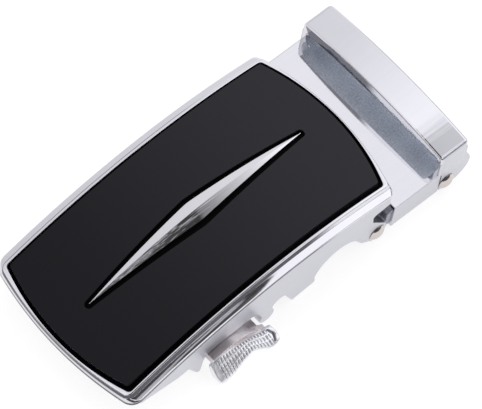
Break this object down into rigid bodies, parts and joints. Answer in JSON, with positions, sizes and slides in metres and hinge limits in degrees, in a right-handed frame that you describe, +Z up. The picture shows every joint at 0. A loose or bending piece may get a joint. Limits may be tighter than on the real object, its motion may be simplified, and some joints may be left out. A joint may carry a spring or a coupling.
{
  "type": "ratchet belt buckle",
  "caption": "Ratchet belt buckle with an arched black panel, a spindle ornament, a side release tab and a hinged clip with a keeper loop.",
  "frame": {"origin": "middle of the whole buckle's box, at the surface it lies on", "axes": "+X along the strap from the open end towards the clip, +Y across the strap away from the release tab, +Z up from the surface"},
  "size_m": [0.0909, 0.046, 0.0189],
  "materials": {
    "bright_casting": "polished",
    "black_enamel": "glossy",
    "polished_trim": "polished",
    "nickel_pin": "polished",
    "spring_steel": "satin"
  },
  "bodies": {
    "case": {"case": "bright_casting", "panel": "black_enamel", "ornament": "polished_trim", "hinge_pin": "nickel_pin", "pawl_pin": "nickel_pin"},
    "clip": {"clip": "bright_casting", "jaw_pin": "nickel_pin"},
    "jaw": {"jaw": "spring_steel"},
    "pawl": {"pawl": "spring_steel", "release_tab": "bright_casting", "return_spring": "spring_steel"}
  },
  "joints": [
    {"name": "clip_hinge", "type": "hinge", "parent": "case", "child": "clip", "pos_m": [0.02074, 0.0022, 0.0025], "axis": [0, 1, 0], "range_deg": [-18, 90]},
    {"name": "jaw_hinge", "type": "hinge", "parent": "clip", "child": "jaw", "pos_m": [0.03934, 0.0022, 0.00195], "axis": [0, -1, 0], "range_deg": [0, 100]},
    {"name": "pawl_pivot", "type": "hinge", "parent": "case", "child": "pawl", "pos_m": [-0.02769, 0.0022, 0.00498], "axis": [0, 1, 0], "range_deg": [0, 13], "stiffness_Nm_per_rad": 0.05, "springref_deg": -20.05}
  ]
}
